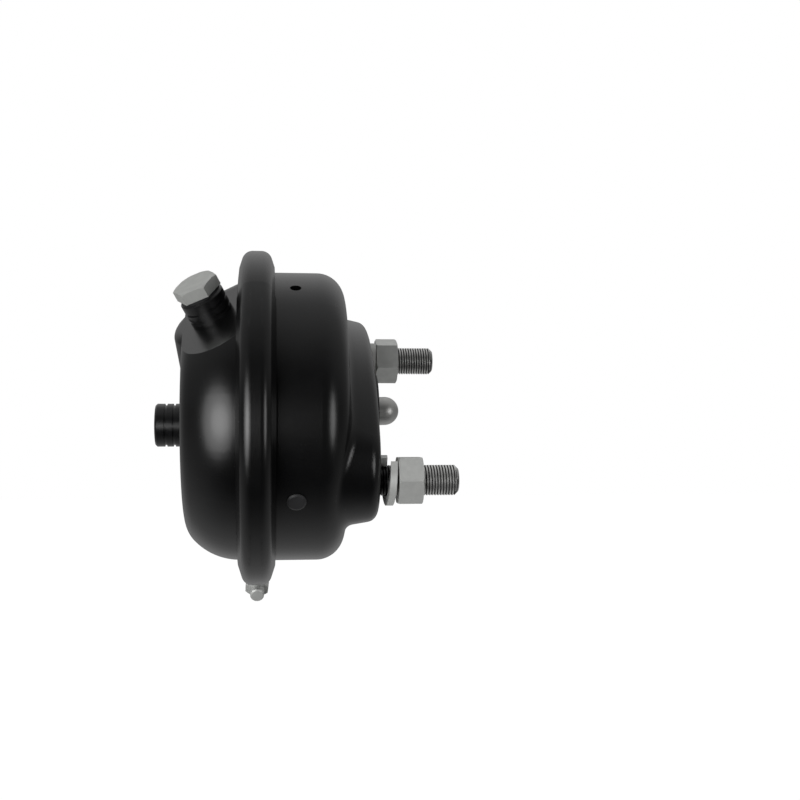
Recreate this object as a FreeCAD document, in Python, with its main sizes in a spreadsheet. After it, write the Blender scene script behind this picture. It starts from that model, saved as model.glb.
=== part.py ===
import FreeCAD
import Part
import math
import os
import re

import Sketcher

# Air brake chamber for a disc brake, in millimetres. The origin is the centre of the
# mounting face on the chamber's axis, +X is the way the push rod comes out and +Z is up.
# Angles called clock are turned about the axis from straight up towards -Y.

SIZES = {
    # pressed front cup and its raised stud pad
    "mount_to_ring": 64,
    "cup_radius": 80.5,
    "front_wall": 3,
    "shoulder_drop": 16,
    "cup_corner": 15,
    "pad_half_length": 76.5,
    "pad_end_radius": 29,
    "pad_side_lean": 25.5,
    "pad_sink": 28,
    "pad_end_spread": 1,
    "pad_side_spread": 11,
    "pad_edge": 6,
    "pad_root": 6,
    "mouth_radius": 19.5,
    "vent_radius": 3,
    "vent_setback": 43.5,
    "vent_turn": 1.5,
    # pressed rear cup, its pressed seat and its pod
    "rear_step": 0.5,
    "rear_wall": 3,
    "rear_depth": 39,
    "rear_shoulder": 34.6,
    "rear_tangent": 9,
    "rear_edge": 18,
    "port_clock": 30,
    "seat_depth": 10,
    "seat_slope": 26,
    "seat_start": 10,
    "port_setback": 24.1,
    "seat_side_turn": 25,
    "seat_side_rise": 4.3,
    "seat_blend": 20,
    "pod_radius": 22.7,
    "pod_edge": 5.5,
    "pod_lean": 8,
    # flanges that the clamp ring draws together
    "flange_height": 9.5,
    "flange_root": 2.5,
    # clamp ring of V section
    "ring_rise": 4,
    "ring_lip_gap": 3,
    "ring_half_width": 6.7,
    "ring_gauge": 2.8,
    "ring_corner": 6,
    "flank_angle": 18,
    "clamp_play": 0.05,
    "notch_clock": 15.5,
    "notch_half_angle": 27.5,
    "notch_drop": 1.6,
    "notch_waist": 0.5,
    "notch_gauge": 2.1,
    "clamp_gap": 14,
    "lug_clock": 24,
    "lug_gauge": 4,
    "lug_rise": 13.5,
    "lug_width": 14,
    "clamp_bolt_radius": 4,
    "clamp_bolt_rise": 7,
    "clamp_bolt_tail": 27.5,
    "clamp_head_flats": 13,
    "clamp_head_height": 5.3,
    "clamp_nut_height": 6.8,
    # mounting studs with their nuts and spring washers
    "stud_pitch": 120.65,
    "stud_angle": 34,
    "stud_radius": 8,
    "stud_length": 42,
    "stud_chamfer": 1.2,
    "stud_head_radius": 11,
    "stud_head_height": 5,
    "stud_play": 0.3,
    "nut_flats": 24,
    "nut_height": 13,
    "nut_chamfer": 1.3,
    "upper_nut_start": 7.2,
    "lower_nut_start": 9.7,
    "upper_nut_turn": 19.5,
    "lower_nut_turn": 0,
    "washer_width": 5,
    "washer_gauge": 3.5,
    "washer_split": 14,
    "washer_split_turn": 25,
    "upper_washer_pitch": 3.6,
    "lower_washer_pitch": 5.2,
    "lower_washer_lift": 0.6,
    # stud plate and spring seat inside the front cup
    "stud_plate_gauge": 5,
    "stud_plate_play": 1,
    "spring_seat_gauge": 2.5,
    "spring_seat_half_width": 7,
    "spring_seat_lip": 4,
    # ports and the plug in the inclined one
    "boss_radius": 12,
    "axial_boss_height": 17,
    "angled_boss_height": 12.5,
    "axial_boss_drop": 5,
    "boss_chamfer": 1,
    "boss_spigot": 9.5,
    "boss_groove_width": 1.5,
    "boss_groove_depth": 0.9,
    "boss_groove_first": 5.1,
    "boss_groove_step": 4.6,
    "port_bore": 7.25,
    "plug_flats": 22,
    "plug_head_height": 6.2,
    "plug_chamfer": 1.4,
    "plug_shank": 12,
    "plug_turn": 58,
    "plug_seal_gauge": 1.5,
    "plug_seal_radius": 11,
    # diaphragm, push plate and push rod
    "diaphragm_wall": 3,
    "diaphragm_rest": 0.4,
    "plate_radius": 48,
    "plate_gauge": 3.5,
    "plate_rim": 7,
    "ball_radius": 10.5,
    "ball_play": 0.3,
    "ball_setback": 11.1,
    "hub_radius": 17,
    "hub_length": 16.1,
    "retainer_gauge": 3,
    "rod_radius": 8,
    "rod_reach": 16,
    "rod_tilt": 1.9,
    # return spring, boot and seal
    "spring_wire": 4.5,
    "spring_small_radius": 38,
    "spring_large_radius": 54,
    "spring_turns": 4.5,
    "boot_wall": 1.6,
    "boot_collar_length": 6,
    "boot_crest_radius": 31,
    "boot_valley_radius": 20,
    "boot_folds": 7,
    "clip_gauge": 1.5,
    "clip_width": 4,
    "seal_lip_height": 3,
    "seal_lip_radius": 24.5,
    "seal_bore": 15.5,
    "seal_lip_thickness": 2.2,
    # plugs in two of the four vents
    "vent_plug_head_radius": 5,
    "vent_plug_head_height": 1.2,
    "vent_plug_shank": 5,
}

SHEET = "Sizes"
document = FreeCAD.newDocument("air_brake_chamber")
sheet = document.addObject("Spreadsheet::Sheet", SHEET)
for row, (name, number) in enumerate(SIZES.items(), start=1):
    sheet.set(f"A{row}", name)
    sheet.set(f"B{row}", str(number))
    sheet.setAlias(f"B{row}", name)
document.recompute()


def cells(formula):
    """The formula with each size's name written as its cell in the sheet."""
    return re.sub(
        r"[a-z_]+", lambda m: f"{SHEET}.{m.group()}" if m.group() in SIZES else m.group(), formula
    )


def value(formula):
    """The formula's number with the sheet as it stands."""
    return float(sheet.evalExpression(cells(formula)))


def bind(item, property_name, formula):
    item.setExpression(property_name, cells(formula))


# Planes along the axis and radii that several pieces share.
RING = "(0 - mount_to_ring)"
SHOULDER = "(0 - shoulder_drop)"
REAR_FACE = f"({RING} - rear_depth)"
PLATE_BACK = f"({REAR_FACE} + rear_wall + diaphragm_rest + diaphragm_wall)"
PLATE_FRONT = f"({PLATE_BACK} + plate_gauge)"
PIVOT = f"({PLATE_FRONT} + ball_setback)"
HUB_FRONT = f"({PLATE_FRONT} + hub_length)"
SPRING_SEAT = f"({SHOULDER} - front_wall - spring_seat_gauge)"
STUD_PLATE = "(0 - front_wall - stud_plate_gauge)"
REAR_RADIUS = "(cup_radius - rear_step)"
SEAT_START = f"({REAR_RADIUS} - seat_depth)"
SEAT_LIFT = f"({SEAT_START} + (seat_start - port_setback) * tan(seat_slope))"
FLANGE_RADIUS = "(cup_radius + flange_height)"
RING_RADIUS = f"({FLANGE_RADIUS} + ring_rise)"
RING_LIP = "(cup_radius + ring_lip_gap)"
LIP_HALF_WIDTH = f"(ring_half_width + ({RING_RADIUS} - {RING_LIP}) * tan(flank_angle))"


def flange_outside(radius):
    """How far the flange's outer face lies from the ring's middle at a radius."""
    return (
        f"({LIP_HALF_WIDTH} - ring_gauge / cos(flank_angle) - clamp_play"
        f" - ({radius} - {RING_LIP}) * tan(flank_angle))"
    )


def flange_inside(radius, wall):
    return f"({flange_outside(radius)} - {wall} / cos(flank_angle))"


def origin_plane(body, role):
    return next(item for item in body.Origin.OriginFeatures if item.Role == role)


def new_body(label):
    body = document.addObject("PartDesign::Body", label)
    body.Label = label
    return body


def new_sketch(body, name, role, offset=None):
    """A sketch on one of the body's own origin planes, moved along the plane's normal."""
    sketch = body.newObject("Sketcher::SketchObject", f"{body.Name}_{name}")
    sketch.AttachmentSupport = [(origin_plane(body, role), "")]
    sketch.MapMode = "FlatFace"
    if offset:
        bind(sketch, "AttachmentOffset.Base.z", offset)
    return sketch


def turn_sketch(sketch, angle):
    """Turns a sketch that holds the axis about that axis."""
    sketch.AttachmentOffset.Rotation = FreeCAD.Rotation(FreeCAD.Vector(1, 0, 0), value(angle))
    bind(sketch, "AttachmentOffset.Rotation.Angle", angle)


def pin_point(sketch, geometry, vertex, corner):
    """Ties a vertex to the sketch's origin by two formulas."""
    for kind, formula in zip(("DistanceX", "DistanceY"), corner):
        number = value(formula)
        index = sketch.addConstraint(
            Sketcher.Constraint(kind, -1, 1, geometry, vertex, number)
        )
        bind(sketch, f"Constraints[{index}]", formula)


def arc_between(start, end, radius, side):
    """The short arc from start to end; side 1 has its centre to the left of the way."""
    ax, ay = start
    bx, by = end
    chord = math.hypot(bx - ax, by - ay)
    rise = math.sqrt(max(radius**2 - chord**2 / 4, 0))
    nx, ny = -(by - ay) / chord, (bx - ax) / chord
    cx = (ax + bx) / 2 + side * rise * nx
    cy = (ay + by) / 2 + side * rise * ny
    first = math.atan2(ay - cy, ax - cx)
    last = math.atan2(by - cy, bx - cx)
    if side < 0:
        first, last = last, first
    circle = Part.Circle(FreeCAD.Vector(cx, cy, 0), FreeCAD.Vector(0, 0, 1), radius)
    return Part.ArcOfCircle(circle, first, last if last > first else last + 2 * math.pi)


def outline(sketch, corners):
    """A closed outline. A corner is (x, y), or (x, y, radius, side) where an arc leads on."""
    places = [(value(corner[0]), value(corner[1])) for corner in corners]
    ends = []
    for index, corner in enumerate(corners):
        start, end = places[index], places[(index + 1) % len(corners)]
        if len(corner) == 2:
            line = Part.LineSegment(FreeCAD.Vector(*start, 0), FreeCAD.Vector(*end, 0))
            ends.append((sketch.addGeometry(line), 1, 2))
            continue
        arc = arc_between(start, end, value(corner[2]), corner[3])
        order = (1, 2) if corner[3] > 0 else (2, 1)
        ends.append((sketch.addGeometry(arc), *order))
    for index, (geometry, _, last) in enumerate(ends):
        following, first, _ = ends[(index + 1) % len(ends)]
        sketch.addConstraint(
            Sketcher.Constraint("Coincident", geometry, last, following, first)
        )
    for index, corner in enumerate(corners):
        geometry, first, _ = ends[index]
        pin_point(sketch, geometry, first, corner[:2])
        if len(corner) > 2:
            index = sketch.addConstraint(
                Sketcher.Constraint("Radius", geometry, value(corner[2]))
            )
            bind(sketch, f"Constraints[{index}]", corner[2])
    return sketch


def circles(sketch, radius, centres=(("0", "0"),)):
    for centre in centres:
        place = FreeCAD.Vector(value(centre[0]), value(centre[1]), 0)
        circle = Part.Circle(place, FreeCAD.Vector(0, 0, 1), value(radius))
        geometry = sketch.addGeometry(circle)
        pin_point(sketch, geometry, 3, centre)
        index = sketch.addConstraint(Sketcher.Constraint("Radius", geometry, value(radius)))
        bind(sketch, f"Constraints[{index}]", radius)
    return sketch


def hexagon(sketch, flats, turn="0"):
    """A regular hexagon about the sketch's origin, with its first corner at the turn."""
    corners = []
    for index in range(6):
        angle = f"({turn} + {60 * index})"
        reach = f"({flats} / sqrt(3))"
        corners.append((f"{reach} * cos({angle})", f"{reach} * sin({angle})"))
    return outline(sketch, corners)


def revolve(body, sketch, kind="Revolution", angle="360", midplane=False):
    feature = body.newObject(f"PartDesign::{kind}", f"{body.Name}_{kind}")
    feature.Profile = sketch
    feature.ReferenceAxis = (sketch, ["H_Axis"])
    feature.Midplane = midplane
    bind(feature, "Angle", angle)
    document.recompute()
    return feature


def extrude(body, sketch, length):
    feature = body.newObject("PartDesign::Pad", f"{body.Name}_Pad")
    feature.Profile = sketch
    bind(feature, "Length", length)
    document.recompute()
    return feature


def cut_through(body, sketch):
    feature = body.newObject("PartDesign::Pocket", f"{body.Name}_Pocket")
    feature.Profile = sketch
    feature.Type = "ThroughAll"
    feature.Midplane = True
    document.recompute()
    return feature


def dress(body, kind, wanted, size):
    """Rounds or chamfers every edge of the body for which wanted(edge) is true."""
    names = [
        f"Edge{index}" for index, edge in enumerate(body.Tip.Shape.Edges, 1) if wanted(edge)
    ]
    base = body.Tip
    feature = body.newObject(f"PartDesign::{kind}", f"{body.Name}_{kind}")
    feature.Base = (base, names)
    bind(feature, "Radius" if kind == "Fillet" else "Size", size)
    document.recompute()
    return feature


def ring_edge(x_formula, radius_formula):
    """A test for the round edges about the axis at one place and radius."""
    x, radius = value(x_formula), value(radius_formula)

    def wanted(edge):
        if not isinstance(edge.Curve, Part.Circle):
            return False
        centre = edge.Curve.Center
        off_axis = math.hypot(centre.y, centre.z)
        near = abs(centre.x - x) < 0.01 and abs(edge.Curve.Radius - radius) < 0.01
        return near and off_axis < 0.01

    return wanted


def edges_on_plane(x_formula):
    x = value(x_formula)
    return lambda edge: max(abs(vertex.X - x) for vertex in edge.Vertexes) < 0.01


def turned(label, corners):
    """A turned piece about X; its half section is given as corners (x, radius)."""
    body = new_body(label)
    revolve(body, outline(new_sketch(body, "section", "XY_Plane"), corners))
    return body


def cylinder(label, radius, length):
    item = document.addObject("Part::Cylinder", label)
    bind(item, "Radius", radius)
    bind(item, "Height", length)
    return item


def place(item, x="0", y="0", z="0", axis=None, turn=None):
    """Puts a piece in the chamber's frame by formulas, turned about one axis."""
    for letter, formula in zip("xyz", (x, y, z)):
        bind(item, f"Placement.Base.{letter}", formula)
    if axis:
        item.Placement.Rotation = FreeCAD.Rotation(FreeCAD.Vector(*axis), value(turn))
        bind(item, "Placement.Rotation.Angle", turn)


def combine(kind, label, first, *others):
    """A cut, or a fuse, of finished objects; several tools are fused first."""
    item = document.addObject(f"Part::{kind}", label)
    item.Label = label
    tool = others[0]
    if len(others) > 1:
        tool = document.addObject("Part::MultiFuse", f"{label}_tools")
        tool.Shapes = list(others)
    item.Base = first
    item.Tool = tool
    document.recompute()
    return item


def oval(sketch, inset, end_spread="0", side_spread="0"):
    """Four tangent arcs: the pad's outline at its face, or spread out towards its foot."""
    end = f"(pad_end_radius - {inset} + {side_spread})"
    reach = f"(pad_half_length - {inset} + {end_spread} - {end})"
    side = f"({end} + {reach} / sin(pad_side_lean))"
    along = f"({reach} + {end} * sin(pad_side_lean))"
    across = f"({end} * cos(pad_side_lean))"
    return outline(
        sketch,
        [
            (along, f"0 - {across}", end, 1),
            (along, across, side, 1),
            (f"0 - {along}", across, end, 1),
            (f"0 - {along}", f"0 - {across}", side, 1),
        ],
    )


def cup_skin(label, inset, corners, bottom_radius):
    """One skin of the front cup with its raised oval pad, the wall's inset within the outside."""
    body = new_body(label)
    revolve(body, outline(new_sketch(body, "section", "XY_Plane"), corners))
    bottom = f"({SHOULDER} - {inset})"
    dress(body, "Fillet", ring_edge(bottom, f"cup_radius - {inset}"), bottom_radius)
    top = oval(new_sketch(body, "pad_face", "YZ_Plane", f"0 - {inset}"), inset)
    foot = new_sketch(body, "pad_foot", "YZ_Plane", f"0 - pad_sink")
    oval(foot, inset, "pad_end_spread", "pad_side_spread")
    pad = body.newObject("PartDesign::AdditiveLoft", f"{label}_pad")
    pad.Profile = top
    pad.Sections = [foot]
    pad.Ruled = True
    document.recompute()
    dress(body, "Fillet", edges_on_plane(f"0 - {inset}"), f"pad_edge - {inset}")
    return body


def round_pad_foot(body):
    """Rounds the line where the pad rises from the cup's shoulder and corner."""
    low = value(f"{SHOULDER} - cup_corner * 0.9")
    high = value(SHOULDER) + 0.01

    def pad_foot(edge):
        round_about_axis = isinstance(edge.Curve, Part.Circle) and math.hypot(
            edge.Curve.Center.y, edge.Curve.Center.z
        ) < 0.01
        return not round_about_axis and all(low < vertex.X < high for vertex in edge.Vertexes)

    dress(body, "Fillet", pad_foot, "pad_root")


def front_housing():
    """Pressed cup with a raised oval pad, flanged at the ring; its stud line lies along Y here."""
    wall = "front_wall"
    inner_radius = f"(cup_radius - {wall})"
    flange = [
        (f"{RING} + {flange_inside(FLANGE_RADIUS, wall)}", FLANGE_RADIUS),
        (f"{RING} + {flange_outside(FLANGE_RADIUS)}", FLANGE_RADIUS),
        (f"{RING} + {flange_outside('cup_radius')}", "cup_radius"),
    ]
    waist = f"{RING} + {flange_inside(inner_radius, wall)}"
    outer = flange + [(SHOULDER, "cup_radius"), (SHOULDER, "0"), (waist, "0"), (waist, inner_radius)]
    bottom = f"({SHOULDER} - {wall})"
    inner = [(RING, "0"), (RING, inner_radius), (bottom, inner_radius), (bottom, "0")]
    outside = cup_skin("front_outside", "0", outer, "cup_corner")
    round_pad_foot(outside)
    dress(
        outside,
        "Fillet",
        ring_edge(f"{RING} + {flange_outside('cup_radius')}", "cup_radius"),
        "flange_root",
    )
    inside = cup_skin("front_inside", wall, inner, f"cup_corner - {wall}")
    mouth = cylinder("front_mouth", "mouth_radius", "shoulder_drop * 2")
    place(mouth, x="0 - shoulder_drop", axis=(0, 1, 0), turn="90")
    holes = [mouth]
    for side, sign in (("upper", ""), ("lower", "0 - ")):
        hole = cylinder(f"{side}_stud_hole", "stud_radius + stud_play", "shoulder_drop * 2")
        place(hole, x="0 - shoulder_drop", y=f"{sign}stud_pitch / 2", axis=(0, 1, 0), turn="90")
        holes.append(hole)
    for quarter in range(4):
        turn = f"({90 * quarter} - vent_turn)"
        vent = cylinder(f"vent_{quarter}", "vent_radius", "cup_radius * 1.2")
        place(vent, x="0 - vent_setback", axis=(1, 0, 0), turn=turn)
        holes.append(vent)
    shell = combine("Cut", "front_shell", outside, inside)
    housing = combine("Cut", "front_housing", shell, *holes)
    place(housing, axis=(1, 0, 0), turn="stud_angle")
    return housing


def rear_skin(label, inset, corners):
    """One skin of the rear cup with its pressed seat and pod; the port's clock is up here."""
    body = new_body(label)
    revolve(body, outline(new_sketch(body, "section", "XY_Plane"), corners))
    slope = "tan(seat_slope)"
    drop = f"({inset} / cos(seat_slope))"
    start = f"({RING} - seat_start + {inset})"
    far = f"({REAR_FACE} - pod_radius)"
    for name, rise, turn in (("seat", "0", "0"), ("seat_side", "seat_side_rise", "0 - seat_side_turn")):
        lift_at = f"({SEAT_START} + {rise} + ({{x}} - {RING} + seat_start) * {slope} - {drop})"
        above = outline(
            new_sketch(body, name, "XZ_Plane"),
            [
                (start, lift_at.format(x=start)),
                (start, "cup_radius * 1.3"),
                (far, "cup_radius * 1.3"),
                (far, lift_at.format(x=far)),
            ],
        )
        turn_sketch(above, turn)
        cut_through(body, above)

    def crease(edge):
        """The line along the seat's slope where its two flats meet."""
        ends = [vertex.X for vertex in edge.Vertexes]
        return isinstance(edge.Curve, Part.Line) and max(ends) - min(ends) > 1

    dress(body, "Fillet", crease, f"seat_blend - {inset}")
    foot_x = f"({RING} - port_setback)"
    foot_z = f"({SEAT_LIFT} - {drop})"
    flare = "(seat_slope - pod_lean)"
    reach = f"(pod_radius - {inset} * (1 / cos({flare}) - tan({flare})))"
    tangent = f"((pod_edge - {inset}) * tan(45 - {flare} / 2))"
    depth = f"(pod_radius * 1.6 - {inset})"

    def pod_point(down, out):
        """A point of the pod's half section, down from the seat and out from the port's line."""
        return (
            f"{foot_x} + {down} * sin(seat_slope) - {out} * cos(seat_slope)",
            f"{foot_z} - {down} * cos(seat_slope) - {out} * sin(seat_slope)",
        )

    corners = [
        pod_point("0", "0"),
        pod_point("0", f"({reach} - {tangent})") + (f"pod_edge - {inset}", 1),
        pod_point(f"{tangent} * cos({flare})", f"({reach} + {tangent} * sin({flare}))"),
        pod_point(depth, f"({reach} + {depth} * tan({flare}))"),
        pod_point(depth, "0"),
    ]
    half_section = outline(new_sketch(body, "pod", "XZ_Plane"), corners)
    line = Part.LineSegment(
        *(FreeCAD.Vector(value(corners[end][0]), value(corners[end][1]), 0) for end in (0, 4))
    )
    axis_line = half_section.addGeometry(line, True)
    half_section.addConstraint(Sketcher.Constraint("Coincident", axis_line, 1, 0, 1))
    half_section.addConstraint(Sketcher.Constraint("Coincident", axis_line, 2, 4, 1))
    pod = body.newObject("PartDesign::Revolution", f"{label}_pod")
    pod.Profile = half_section
    pod.ReferenceAxis = (half_section, ["Axis0"])
    pod.Angle = 180
    pod.Midplane = True
    document.recompute()
    return body


def rear_housing():
    wall = "rear_wall"
    inner_radius = f"({REAR_RADIUS} - {wall})"
    tangent = f"({RING} - rear_tangent)"
    centre_radius = f"({REAR_RADIUS} - rear_shoulder)"
    edge_x = f"({REAR_FACE} + rear_edge)"
    along = f"({edge_x} - {tangent})"
    across = f"sqrt((rear_shoulder - rear_edge)^2 - {along}^2)"

    def shoulder(inset):
        """The round shoulder, the tighter edge that runs on from it and the flat end."""
        share = f"((rear_shoulder - {inset}) / (rear_shoulder - rear_edge))"
        return [
            (tangent, f"{REAR_RADIUS} - {inset}", f"rear_shoulder - {inset}", 1),
            (
                f"{tangent} + {along} * {share}",
                f"{centre_radius} + {across} * {share}",
                f"rear_edge - {inset}",
                1,
            ),
            (f"{REAR_FACE} + {inset}", f"{centre_radius} + {across}"),
            (f"{REAR_FACE} + {inset}", "0"),
        ]

    waist = f"{RING} - {flange_inside(inner_radius, wall)}"
    outer = [
        (f"{RING} - {flange_inside(FLANGE_RADIUS, wall)}", FLANGE_RADIUS),
        (f"{RING} - {flange_outside(FLANGE_RADIUS)}", FLANGE_RADIUS),
        (f"{RING} - {flange_outside(REAR_RADIUS)}", REAR_RADIUS),
        *shoulder("0"),
        (waist, "0"),
        (waist, inner_radius),
    ]
    inner = [(RING, inner_radius), *shoulder(wall), (RING, "0")]
    outside = rear_skin("rear_outside", "0", outer)
    inside = rear_skin("rear_inside", wall, inner)
    spigot = "boss_spigot + stud_play / 3"
    axial = cylinder("axial_port_hole", spigot, "rear_wall * 4")
    drop = "axial_boss_drop"
    place(
        axial,
        x=f"{REAR_FACE} - rear_wall",
        y=f"0 - {drop} * sin(port_clock)",
        z=f"0 - {drop} * cos(port_clock)",
        axis=(0, 1, 0),
        turn="90",
    )
    angled = cylinder("angled_port_hole", spigot, "rear_wall * 4")
    place(
        angled,
        x=f"{RING} - port_setback - rear_wall * 2 * sin(0 - seat_slope)",
        z=f"{SEAT_LIFT} - rear_wall * 2 * cos(seat_slope)",
        axis=(0, 1, 0),
        turn="0 - seat_slope",
    )
    shell = combine("Cut", "rear_shell", outside, inside)
    housing = combine("Cut", "rear_housing", shell, axial, angled)
    place(housing, axis=(1, 0, 0), turn="port_clock")
    return housing


def ring_section(body, name, drop, waist, gauge):
    """The V channel with round crown corners, its crown let in by a drop, each flank by a waist."""
    lean, thin = "tan(flank_angle)", f"({gauge} / cos(flank_angle))"
    radius = f"({RING_RADIUS} - {drop})"
    crown = f"(ring_half_width + {drop} * {lean} - {waist})"
    half_width = f"({crown} + ({radius} - {RING_LIP}) * {lean})"
    inner = f"({radius} - {gauge})"
    inner_crown = f"({half_width} - {thin} - ({inner} - {RING_LIP}) * {lean})"
    tangent = "(ring_corner * tan(45 - flank_angle / 2))"
    flank = f"({crown} + {tangent} * sin(flank_angle))"
    flank_radius = f"({radius} - {tangent} * cos(flank_angle))"
    return outline(
        new_sketch(body, name, "XZ_Plane"),
        [
            (f"{RING} - {half_width}", RING_LIP),
            (f"{RING} - {flank}", flank_radius, "ring_corner", -1),
            (f"{RING} - {crown} + {tangent}", radius),
            (f"{RING} + {crown} - {tangent}", radius, "ring_corner", -1),
            (f"{RING} + {flank}", flank_radius),
            (f"{RING} + {half_width}", RING_LIP),
            (f"{RING} + {half_width} - {thin}", RING_LIP),
            (f"{RING} + {inner_crown}", inner),
            (f"{RING} - {inner_crown}", inner),
            (f"{RING} - {half_width} + {thin}", RING_LIP),
        ],
    )


def clamp_ring():
    """One-piece V clamp with its lugs below and a notch above that lets it spring open."""
    body = new_body("clamp_ring")
    turn = f"360 deg - 2 * asin(clamp_gap / 2 / {RING_RADIUS})"
    revolve(body, ring_section(body, "section", "0", "0", "ring_gauge"), angle=turn, midplane=True)
    low, high = f"{RING_LIP} * 0.9", f"{RING_RADIUS} * 1.1"
    near, far = f"{RING} - {LIP_HALF_WIDTH} * 1.2", f"{RING} + {LIP_HALF_WIDTH} * 1.2"
    away = new_sketch(body, "notch", "XZ_Plane")
    outline(away, [(near, low), (far, low), (far, high), (near, high)])
    saddle = ring_section(body, "saddle", "notch_drop", "notch_waist", "notch_gauge")
    for sketch in (away, saddle):
        turn_sketch(sketch, "notch_clock - lug_clock")
    revolve(body, away, "Groove", "2 * notch_half_angle", midplane=True)
    revolve(body, saddle, angle="2 * notch_half_angle + 1", midplane=True)
    foot = f"2 - {RING_RADIUS}"
    end = f"lug_width / 2 - {RING_RADIUS} - lug_rise"
    lug = outline(
        new_sketch(body, "lug", "XZ_Plane", "0 - clamp_gap / 2 - lug_gauge"),
        [
            (f"{RING} - lug_width / 2", foot),
            (f"{RING} + lug_width / 2", foot),
            (f"{RING} + lug_width / 2", end, "lug_width * 0.52", -1),
            (f"{RING} - lug_width / 2", end),
        ],
    )
    pad = extrude(body, lug, "lug_gauge")
    mirror = body.newObject("PartDesign::Mirrored", "clamp_ring_second_lug")
    mirror.Originals = [pad]
    mirror.MirrorPlane = (origin_plane(body, "XZ_Plane"), [""])
    body.Tip = mirror
    hole = new_sketch(body, "bolt_hole", "XZ_Plane")
    circles(hole, "clamp_bolt_radius + stud_play", [(RING, f"0 - {RING_RADIUS} - clamp_bolt_rise")])
    cut_through(body, hole)
    place(body, axis=(1, 0, 0), turn="lug_clock")
    return body


def hex_piece(label, flats, start, height, bore=None, both_ends=False, chamfer="nut_chamfer"):
    """A hexagon along X from start, chamfered by a cone at its far end or at both."""
    body = new_body(label)
    sketch = hexagon(new_sketch(body, "flats", "YZ_Plane", start), flats)
    if bore:
        circles(sketch, bore)
    extrude(body, sketch, height)
    corner = f"({flats} / sqrt(3))"
    end = f"({start} + {height})"
    slope = "tan(30)"
    ends = [(end, "0 - 1"), (start, "1")] if both_ends else [(end, "0 - 1")]
    for index, (face, way) in enumerate(ends):
        cone = outline(
            new_sketch(body, f"chamfer_{index}", "XY_Plane"),
            [
                (face, f"{corner} - {chamfer}"),
                (face, f"{corner} * 1.1"),
                (f"{face} + {way} * ({chamfer} + {corner} * 0.1) * {slope}", f"{corner} * 1.1"),
            ],
        )
        revolve(body, cone, "Groove")
    return body


def clamp_fastening():
    head = "(clamp_gap / 2 + lug_gauge)"
    reach = f"({RING_RADIUS} + clamp_bolt_rise)"
    bolt = hex_piece("clamp_bolt", "clamp_head_flats", head, "clamp_head_height", chamfer="0.7")
    shank = new_sketch(bolt, "shank", "YZ_Plane", "0 - clamp_bolt_tail")
    extrude(bolt, circles(shank, "clamp_bolt_radius"), f"clamp_bolt_tail + {head}")
    dress(bolt, "Chamfer", ring_edge("0 - clamp_bolt_tail", "clamp_bolt_radius"), "0.8")
    nut = hex_piece(
        "clamp_nut",
        "clamp_head_flats",
        f"0 - {head} - clamp_nut_height",
        "clamp_nut_height",
        bore="clamp_bolt_radius",
        both_ends=True,
        chamfer="0.7",
    )
    for piece in (bolt, nut):
        place(
            piece,
            x=RING,
            y=f"{reach} * sin(lug_clock)",
            z=f"0 - {reach} * cos(lug_clock)",
        )
        clock = math.radians(value("lug_clock"))
        way = FreeCAD.Vector(0, math.cos(clock), math.sin(clock))
        piece.Placement.Rotation = FreeCAD.Rotation(FreeCAD.Vector(1, 0, 0), way)
    return [bolt, nut]


def stud_place(piece, side, x="0"):
    """Puts a piece made about X at the upper or the lower stud."""
    sign = "" if side == "upper" else "0 - "
    place(
        piece,
        x=x,
        y=f"{sign}stud_pitch / 2 * cos(stud_angle)",
        z=f"{sign}stud_pitch / 2 * sin(stud_angle)",
    )


def mounting_stud(side):
    inner = f"({STUD_PLATE} - stud_head_height)"
    stud = turned(
        f"{side}_mounting_stud",
        [
            (inner, "0"),
            (inner, "stud_head_radius"),
            (STUD_PLATE, "stud_head_radius"),
            (STUD_PLATE, "stud_radius"),
            ("stud_length - stud_chamfer", "stud_radius"),
            ("stud_length", "stud_radius - stud_chamfer"),
            ("stud_length", "0"),
        ],
    )
    stud_place(stud, side)
    return stud


def stud_nut(side):
    nut = hex_piece(
        f"{side}_stud_nut", "nut_flats", "0", "nut_height", bore="stud_radius", both_ends=True
    )
    stud_place(nut, side, f"{side}_nut_start")
    nut.Placement.Rotation = FreeCAD.Rotation(FreeCAD.Vector(1, 0, 0), value(f"{side}_nut_turn"))
    bind(nut, "Placement.Rotation.Angle", f"{side}_nut_turn")
    return nut


def spring_washer(side):
    """A split washer, free: one turn of a square section that climbs by its own gauge."""
    radius = value("stud_radius + stud_play + washer_width / 2")
    gauge = value("washer_gauge")
    width = value("washer_width")
    pitch = value(f"{side}_washer_pitch")
    turns = 1 - value("washer_split") / 360
    path = Part.makeHelix(pitch, pitch * turns, radius, 0, True)
    corners = [
        FreeCAD.Vector(radius + across * width / 2, 0, up * gauge)
        for across, up in ((-1, 0), (1, 0), (1, 1), (-1, 1), (-1, 0))
    ]
    section = Part.makePolygon(corners)
    sweep = Part.BRepOffsetAPI.MakePipeShell(path)
    sweep.setFrenetMode(True)
    sweep.add(section)
    sweep.build()
    sweep.makeSolid()
    washer = document.addObject("Part::Feature", f"{side}_spring_washer")
    washer.Shape = sweep.shape()
    along = FreeCAD.Rotation(FreeCAD.Vector(0, 0, 1), FreeCAD.Vector(1, 0, 0))
    split = FreeCAD.Rotation(FreeCAD.Vector(1, 0, 0), value("180 + washer_split_turn"))
    stud_place(washer, side, "lower_washer_lift" if side == "lower" else "0")
    washer.Placement.Rotation = split.multiply(along)
    return washer


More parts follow.
